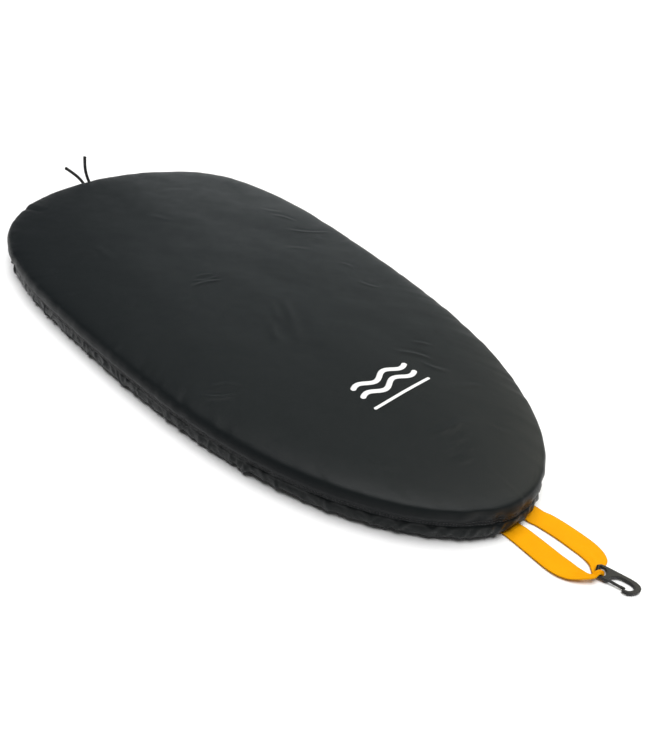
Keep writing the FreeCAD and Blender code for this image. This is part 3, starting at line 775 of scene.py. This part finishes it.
# the bundle comes in over the near end of the bar, curls down through the eye and goes back under the bar
SEC += [(at_bar(-1.9, -10.3, 1.9), HX * -0.62 + HY * 0.62 - Z1 * 0.45, np.array([-0.30, 0.30, 0.9]), 6.4, 2.2),
        (at_bar(-0.2, -7.4, 3.1), HX * -0.66 + HY * 0.72 - Z1 * 0.10, np.array([-0.10, 0.05, 1.0]), 5.4, 2.3),
        (at_bar(1.8, -4.8, 3.5), HX * -0.45 + HY * 0.88, Z1 + HX * 0.1, 4.9, 2.35)]
for k, off in zip(range(2, 9), (-3.1, -2.5, -2.3, -2.2, -2.0, -1.5, -0.8)):
    th = math.radians(90 - 22.5 * k)
    reach = 5.0 if math.cos(th) > 0 else WRAP_R
    d = HX * math.cos(th) + Z1 * math.sin(th)
    SEC.append((BAR + HY * off + HX * (math.cos(th) * reach) + Z1 * (math.sin(th) * WRAP_R), HY, d, 4.7 if k < 6 else 5.6, 2.4))
SEC.append((BAR - HX * 1.8 + HY * 1.2 - Z1 * 3.15, HY * 0.98 + HX * 0.2, -Z1, 8.6, 2.2))
SEC += [(np.array([523.6, 21.8, 1.30]), np.array([0.43, 0.90, 0]), -Z1, 13.0, 2.0),
        (np.array([521.0, 27.4, 1.40]), np.array([0.43, 0.90, 0]), -Z1, 18.8, 1.8),
        (np.array([515.4, 31.1, 1.25]), np.array([0.27, 0.96, 0.02]), -Z1, 22.0, 1.6),
        (np.array([506.8, 33.0, 1.20]), np.array([0.08, 1.0, 0.03]), -Z1, 23.6, 1.45),
        (np.array([496.0, 33.2, 1.20]), np.array([0.0, 1.0, 0.02]), -Z1, 24.2, 1.4),
        (np.array([484.0, 32.8, 1.15]), np.array([0.0, 1, 0.0]), -Z1, 24.4, 1.4),
        (np.array([471.0, 31.6, 1.10]), W1, -Z1, 24.4, 1.4), (np.array([458.0, 29.5, 1.05]), W1, -Z1, 24.2, 1.4)]
back_end = inner_end(28.0, 28.0)[::-1]
SEC += [(c, w, -t, wd, th) for c, w, t, wd, th in back_end]

cen = np.array([s[0] for s in SEC])
sl = np.concatenate([[0], np.cumsum(np.linalg.norm(np.diff(cen, axis=0), axis=1))])
rows = [(sl[i], *SEC[i][0], *np.array(SEC[i][1], float), *np.array(SEC[i][2], float), SEC[i][3], SEC[i][4]) for i in range(len(SEC))]
q = np.linspace(0, sl[-1], 420)
R = smooth_table(rows, q)
HALF = 18            # points across each face of the band
wv, wuv = [], []
ring_n = None
web_len = np.concatenate([[0], np.cumsum(np.linalg.norm(np.diff(R[:, 0:3], axis=0), axis=1))])
for i in range(len(q)):
    c, w, t, width, thick = R[i, 0:3], R[i, 3:6], R[i, 6:9], R[i, 9], R[i, 10]
    w = w / np.linalg.norm(w)
    t = t - w * (w @ t)
    t /= np.linalg.norm(t)
    tight = np.clip((25.0 - width) / 17.0, 0, 1)           # 0 flat, 1 fully gathered
    fa = 0.55 * tight                                      # height of the gathered pleats
    cup = -0.25 * (1 - tight) * math.sin(web_len[i] / 17.0)   # slight hollow across a free leg
    inside = np.exp(-((web_len[i] - web_len[-1] / 2) / 70.0) ** 4)
    cup *= inside
    pts, us = [], []
    for side in (1, -1):
        for k in range(HALF + 1):
            f = -1 + 2 * k / HALF
            f = f if side == 1 else -f
            if side == -1 and k in (0, HALF):
                continue
            edge = (1 - abs(f) ** 9) ** 0.5 if abs(f) < 1 else 0.0
            mid = fa * math.sin(f * math.pi * 2.4 + 0.6) * (1 - abs(f) ** 4) + cup * (f * f - 0.4)
            half = thick / 2 * (0.30 + 0.70 * edge) if abs(f) < 1 else 0.0
            pts.append(c + w * (f * width / 2) + t * (mid + side * half))
            us.append((f * 12.5 * MM + (0.04 if side == -1 else 0.0), web_len[i] * MM))
    wv += pts
    wuv += us
    ring_n = len(pts)
faces = grid_faces(len(q), ring_n)
faces.append(tuple(range(ring_n))[::-1])
faces.append(tuple((len(q) - 1) * ring_n + k for k in range(ring_n)))
strap = new_mesh("release_strap", np.array(wv) * MM, faces, wuv)
strap.data.materials.append(M_WEB)
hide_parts("release_loop", "strap_end_right", "strap_end_left")
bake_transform(strap)

# bar tacks on the sewn ends, inside the hem
segs = []
for y_base in (-4.8, 28.0):
    u = u_at_y(y_base)
    x, y = egg(u)
    nx, ny = egg_normal(u)
    for z in (6.6, 11.0):
        segs += zigzag((x + nx * -19.25, y + ny * -19.25, z), (-ny, nx, 0), (0, 0, 1), (-nx, -ny, 0), 17.0, 2.0, 20, 0.3)
tk = capsules("webbing_bar_tacks", segs, 0.32, M_TACK)
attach(tk, "cover")
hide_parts("strap_bartacks")

# bar tacks beside the cord's way out, at the stern
segs = []
for dy in (-8.6, 8.6):
    k = np.where(_x < -300)[0]
    u = float(_u[k][np.argmin(np.abs(_y[k] - (-12.0 + dy)))])
    x, y = egg(u)
    nx, ny = egg_normal(u)
    segs += zigzag((x + nx * -4.1, y + ny * -4.1, 10.4), (nx * 0.10, ny * 0.10, 1), (-ny, nx, 0), (nx, ny, 0), 8.0, 1.9, 12, 0.3)
tk = capsules("cord_exit_bar_tacks", segs, 0.3, M_THREAD)
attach(tk, "cover")
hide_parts("exit_bartacks")


# ------------------------------------------------------------------ snap hook: one moulding
def fillet2d(points, cap, n=7):
    pts = [np.array(p, float) for p in points]
    out = []
    for i in range(len(pts)):
        a, b, c = pts[i - 1], pts[i], pts[(i + 1) % len(pts)]
        d0, d1 = a - b, c - b
        l0, l1 = np.linalg.norm(d0), np.linalg.norm(d1)
        d0, d1 = d0 / l0, d1 / l1
        turn = math.pi - math.acos(float(np.clip(d0 @ d1, -1, 1)))
        t = min(0.45 * min(l0, l1), cap * math.tan(turn / 2))
        for k in range(n):
            f = k / (n - 1)
            out.append((1 - f) ** 2 * (b + d0 * t) + 2 * f * (1 - f) * b + f * f * (b + d1 * t))
    return out


def prism(name, outline, z0, z1):
    nn = len(outline)
    v = [(p[0], p[1], z0) for p in outline] + [(p[0], p[1], z1) for p in outline]
    f = [tuple(range(nn))[::-1], tuple(range(nn, 2 * nn))]
    f += [(i, (i + 1) % nn, nn + (i + 1) % nn, nn + i) for i in range(nn)]
    me = bpy.data.meshes.new(name)
    me.from_pydata(v, [], f)
    o = bpy.data.objects.new(name, me)
    scene.collection.objects.link(o)
    return o


def boolean(a, b, op):
    m = a.modifiers.new("b", "BOOLEAN")
    m.operation, m.object, m.solver = op, b, "EXACT"
    apply_modifiers(a)
    bpy.data.objects.remove(b)
    return a


def soften(o, voxel, smooths, factor=0.5):
    """Remesh in small cells and relax, so that the edges are rounded as a moulding's are."""
    m = o.modifiers.new("r", "REMESH")
    m.mode, m.voxel_size = "VOXEL", voxel
    m.use_smooth_shade = True
    m = o.modifiers.new("s", "SMOOTH")
    m.factor, m.iterations = factor, smooths
    apply_modifiers(o)
    o.data.polygons.foreach_set("use_smooth", [True] * len(o.data.polygons))
    return o


def hook_place(o):
    """From the hook's own frame in millimetres to the row frame in metres."""
    R3 = Matrix(((HXT[0], HY[0], HZT[0]), (HXT[1], HY[1], HZT[1]), (HXT[2], HY[2], HZT[2]))).to_4x4()
    o.data.transform(Matrix.Translation(Vector(BAR * MM)) @ R3 @ Matrix.Scale(MM, 4))
    o.data.update()
    return o


BODY = [(-1.7, -4.9), (0.4, -6.9), (6.0, -7.3), (12.4, -7.2), (12.4, -3.4), (13.2, -1.2), (16.1, 1.2), (19.0, 2.6),
        (23.0, 2.8), (29.0, 1.9), (32.2, 0.6), (33.4, -2.2), (32.4, -5.0), (30.2, -7.3), (28.0, -8.6),
        (25.8, -8.75), (23.7, -8.6), (23.3, -9.9), (25.4, -10.9), (28.8, -11.1), (32.6, -9.4), (36.0, -6.4), (38.3, -3.0), (38.6, 0.4),
        (37.0, 3.4), (33.4, 5.3), (28.0, 6.3), (16.0, 7.2), (7.0, 7.9), (2.0, 7.8), (-1.7, 5.1)]
EYE = [(-3.0, -5.0), (5.4, -5.0), (7.6, -2.6), (8.0, 2.6), (6.0, 5.2), (-3.0, 5.2)]
GATE = [(7.6, -3.9), (10.6, -4.2), (13.0, -4.85), (20.3, -5.85), (24.6, -5.9), (26.0, -6.5), (25.8, -7.75), (22.0, -7.7), (15.6, -7.0), (11.0, -6.4), (7.6, -6.4)]

hb = prism("snap_hook", fillet2d(BODY, 3.2), -1.6, 1.6)
hb = boolean(hb, prism("t", fillet2d(EYE, 2.2), -4, 4), "DIFFERENCE")
hb = boolean(hb, prism("t", [(10.9, -8.2), (19.0, -8.2), (19.0, -0.2), (14.2, -0.2), (12.4, -1.7), (10.9, -3.5)], -4, 4), "DIFFERENCE")
# the eye's round end bar
nb, vb, fb = 32, [], []
for y in (-5.4, 5.6):
    for k in range(nb):
        th = 2 * math.pi * k / nb
        vb.append((1.7 * math.cos(th), y, 1.7 * math.sin(th)))
fb = [(k, (k + 1) % nb, nb + (k + 1) % nb, nb + k) for k in range(nb)] + [tuple(range(nb))[::-1], tuple(range(nb, 2 * nb))]
me = bpy.data.meshes.new("t")
me.from_pydata(vb, [], fb)
barobj = bpy.data.objects.new("t", me)
scene.collection.objects.link(barobj)
hb = boolean(hb, barobj, "UNION")
soften(hb, 0.16, 9)
hook_place(hb)
hb.data.materials.append(M_HOOK)
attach(hb, "hook")
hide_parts("snap_hook_body")

gt = prism("snap_hook_tongue", fillet2d(GATE, 1.0), -1.2, 1.2)
soften(gt, 0.14, 7)
hook_place(gt)
gt.data.materials.append(M_HOOK)
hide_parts("snap_hook_gate")
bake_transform(gt)


# ------------------------------------------------------------------ shock cord: tails, knot and what reaches into the casing
def sweep(name, path, radius, sides=18, taper=True):
    path = np.array(path, float)
    n = len(path)
    tan = np.gradient(path, axis=0)
    tan /= np.linalg.norm(tan, axis=1)[:, None]
    up = np.array([0.3, 0.5, 0.8])
    verts = []
    for i in range(n):
        up = up - tan[i] * (up @ tan[i])
        up /= np.linalg.norm(up)
        side = np.cross(tan[i], up)
        for k in range(sides):
            th = 2 * math.pi * k / sides
            verts.append(path[i] + (up * math.cos(th) + side * math.sin(th)) * radius)
    faces = grid_faces(n, sides)
    faces.append(tuple(range(sides))[::-1])
    faces.append(tuple((n - 1) * sides + k for k in range(sides)))
    return new_mesh(name, np.array(verts) * MM, faces)


TAILS = {
    "cord_tail_right": [(-457.6, -16.2, 17.6), (-461.2, -19.2, 28.0), (-463.2, -25.5, 41.5), (-463.0, -36.0, 54.0), (-461.2, -47.0, 64.6)],
    "cord_tail_left": [(-457.2, -9.0, 18.4), (-460.4, -11.0, 29.6), (-462.0, -14.3, 45.2), (-461.4, -15.4, 61.6), (-460.3, -13.2, 77.4)],
}
KNOT = np.array([-454.5, -12.0, 13.0])
# overhand knot of the doubled end: a trefoil of cord, with the two ends that come out of the hem
tk_pts = []
for k in range(160):
    th = 2 * math.pi * k / 160
    rr = 2.55 + 1.55 * math.cos(3 * th)
    tk_pts.append(KNOT + np.array([1.9 * math.sin(3 * th), rr * math.cos(2 * th) * 1.22, rr * math.sin(2 * th) * 0.98]))
tk_pts.append(tk_pts[0])
knot = sweep("cord_knot_turns", tk_pts, 2.1)
necks = [sweep("t%d" % i, [(-441.2, -12.0 + dy, 8.2), (-445.0, -12.0 + dy, 8.8), (-449.0, -12.0 + dy * 0.9, 10.2), (-452.5, -12.0 + dy * 0.6, 12.2)], 2.15)
         for i, dy in enumerate((-2.7, 2.7))]
for o in necks:
    base = len(knot.data.vertices)
    m = knot.data
    vs = [tuple(v.co) for v in m.vertices] + [tuple(v.co) for v in o.data.vertices]
    fs = [tuple(p.vertices) for p in m.polygons] + [tuple(base + k for k in p.vertices) for p in o.data.polygons]
    bpy.data.objects.remove(o)
    bpy.data.objects.remove(knot)
    knot = new_mesh("cord_knot_turns", vs, fs)
knot.name = "cord_knot_turns"
knot.data.materials.append(M_BRAID)
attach(knot, "cover")
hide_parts("cord_knot")

for node, pts in TAILS.items():
    cu_ = bpy.data.curves.new(node + "_cord", "CURVE")
    cu_.dimensions = "3D"
    sp = cu_.splines.new("NURBS")
    sp.points.add(len(pts) - 1)
    for p_, q_ in zip(sp.points, pts):
        p_.co = (q_[0] * MM, q_[1] * MM, q_[2] * MM, 1.0)
    sp.order_u = 3
    sp.use_endpoint_u = True
    sp.resolution_u = 16
    cu_.bevel_depth = 0.0025
    cu_.bevel_resolution = 6
    cu_.use_fill_caps = True
    ob_ = bpy.data.objects.new(node + "_cord", cu_)
    scene.collection.objects.link(ob_)
    cu_.materials.append(M_BRAID)
    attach(ob_, "cover")
    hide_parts(node)
    # heat-sealed tip: a slightly flared, rounded bead
    a, b = np.array(pts[-2], float), np.array(pts[-1], float)
    d = (b - a) / np.linalg.norm(b - a)
    up = np.cross(d, [0.3, 0.9, 0.1])
    up /= np.linalg.norm(up)
    side = np.cross(d, up)
    bv, bf, rings = [], [], [(-1.6, 2.52), (-0.9, 2.66), (-0.1, 2.62), (0.35, 2.2), (0.6, 1.5), (0.7, 0.7)]
    for off, r in rings:
        for k in range(20):
            th = 2 * math.pi * k / 20
            wob = 1 + 0.05 * math.sin(3 * th + 1) + 0.03 * math.sin(5 * th)
            bv.append(b + d * off + (up * math.cos(th) + side * math.sin(th)) * r * wob)
    bf = grid_faces(len(rings), 20)
    bf.append(tuple(range(20))[::-1])
    bf.append(tuple((len(rings) - 1) * 20 + k for k in range(20)))
    bead = new_mesh(node + "_tip", np.array(bv) * MM, bf)
    bead.data.materials.append(M_HOOK)
    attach(bead, "cover")

for n_ in ("shock_cord",):
    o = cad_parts[n_]
    o.data.materials.clear()
    o.data.materials.append(M_BRAID)

# ------------------------------------------------------------------ printed mark: generic waves, laid on the cloth
def panel_z(x, y):
    d = (PANEL[:, :, 0] - x) ** 2 + (PANEL[:, :, 1] - y) ** 2
    d = d[: len(t_rows) - 20]
    j, i = np.unravel_index(np.argmin(d), d.shape)
    jj = [max(j - 1, 0), j, j + 1]
    ii = [(i - 1) % COLS, i, (i + 1) % COLS]
    pts = PANEL[np.ix_(jj, ii)].reshape(-1, 3)
    A = np.c_[pts[:, 0] - x, pts[:, 1] - y, np.ones(9)]
    return float(np.linalg.lstsq(A, pts[:, 2], rcond=None)[0][2])


def band(a, b, half, wave, lobes, n, across=3):
    ax, ay = a
    bx, by = b
    ln = math.hypot(bx - ax, by - ay)
    dx, dy = (bx - ax) / ln, (by - ay) / ln
    px, py = -dy, dx
    vs = []
    for i in range(n + 1):
        t = i / n
        s = wave * math.sin(2 * math.pi * lobes * t)
        slope = wave * 2 * math.pi * lobes / ln * math.cos(2 * math.pi * lobes * t)
        wx, wy = px - dx * slope, py - dy * slope
        wn = math.hypot(wx, wy)
        end = min(1.0, math.sqrt(max(0.0, 1 - (max(0.0, 1 - min(t, 1 - t) * ln / half)) ** 2)) + 0.05)
        for k in range(across + 1):
            f = (-1 + 2 * k / across) * half * end
            x, y = ax + dx * ln * t + px * s + wx / wn * f, ay + dy * ln * t + py * s + wy / wn * f
            vs.append((x, y, panel_z(x, y) + 0.10))
    return vs


mv, mf = [], []
for a, b, half, wave, lobes, n in (((243.5, -34.0), (239.0, 46.0), 3.2, 4.2, 2.0, 110), ((259.5, -34.0), (255.0, 46.0), 3.2, 4.2, 2.0, 110),
                                   ((279.0, -35.0), (274.2, 50.0), 1.9, 0.0, 1.0, 100)):
    base = len(mv)
    vs = band(a, b, half, wave, lobes, n)
    mv += vs
    mf += grid_faces(n + 1, 4, wrap=False, base=base)
mark = new_mesh("printed_waves", np.array(mv) * MM, mf)
sol = mark.modifiers.new("ink", "SOLIDIFY")
sol.thickness = 0.00012
sol.offset = -1.0
apply_modifiers(mark)
mark.data.materials.append(M_PRINT)
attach(mark, "cover")
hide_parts("printed_mark")

# ------------------------------------------------------------------ floor, light, camera
fm = bpy.data.meshes.new("floor")
fm.from_pydata([(-30, -30, 0), (30, -30, 0), (30, 30, 0), (-30, 30, 0)], [], [(0, 1, 2, 3)])
floor = bpy.data.objects.new("floor", fm)
scene.collection.objects.link(floor)
floor.location.z = -0.0003
fm.materials.append(make_floor())

w = bpy.data.worlds.new("studio")
scene.world = w
w.use_nodes = True
w.node_tree.nodes["Background"].inputs[0].default_value = (1, 1, 1, 1)
w.node_tree.nodes["Background"].inputs[1].default_value = 0.11


def area(name, loc, target, size, power, size_y=None, colour=(1, 1, 1)):
    d = bpy.data.lights.new(name, "AREA")
    d.energy, d.size = power, size
    d.color = colour
    if size_y:
        d.shape, d.size_y = "RECTANGLE", size_y
    o = bpy.data.objects.new(name, d)
    scene.collection.objects.link(o)
    o.location = loc
    o.rotation_mode = "QUATERNION"
    o.rotation_quaternion = (Vector(target) - Vector(loc)).to_track_quat("-Z", "Y")
    return o


def sun(name, towards, strength, angle, colour=(1, 1, 1)):
    d = bpy.data.lights.new(name, "SUN")
    d.energy, d.angle, d.color = strength, math.radians(angle), colour
    o = bpy.data.objects.new(name, d)
    scene.collection.objects.link(o)
    o.rotation_mode = "QUATERNION"
    o.rotation_quaternion = Vector(towards).to_track_quat("-Z", "Y")
    return o


sun("overhead", (-0.04, 0.03, -1.0), 3.35, 44)
area("key_far_side", (-1.95, 2.00, 0.62), (-0.10, 0.1, 0.0), 2.4, 7.8, 0.6, (0.94, 0.99, 1.0))
area("bow_fill", (0.32, 2.0, 1.3), (0.32, 0.0, 0.0), 1.4, 19, 0.8, (1.0, 0.975, 0.85))

C = Vector((0.68334211, -0.45393991, 0.51893149))
bk = Vector((0.60790437, -0.52534875, 0.59536624))
rt = Vector((0.62482767, 0.77918778, 0.04956588))
up = Vector((-0.48994148, 0.34186999, 0.8019241))
cam_d = bpy.data.cameras.new("camera")
cam = bpy.data.objects.new("camera", cam_d)
scene.collection.objects.link(cam)
M = Matrix(((rt.x, up.x, bk.x, C.x), (rt.y, up.y, bk.y, C.y), (rt.z, up.z, bk.z, C.z), (0, 0, 0, 1)))
cam.matrix_world = M
cam_d.sensor_fit = "AUTO"
cam_d.sensor_width = 36.0
cam_d.lens = 727.16 / 750.0 * 36.0
cam_d.clip_start, cam_d.clip_end = 0.01, 50.0
scene.camera = cam
scene.view_settings.view_transform = "Standard"
scene.view_settings.look = "None"
scene.view_settings.exposure = 0.0
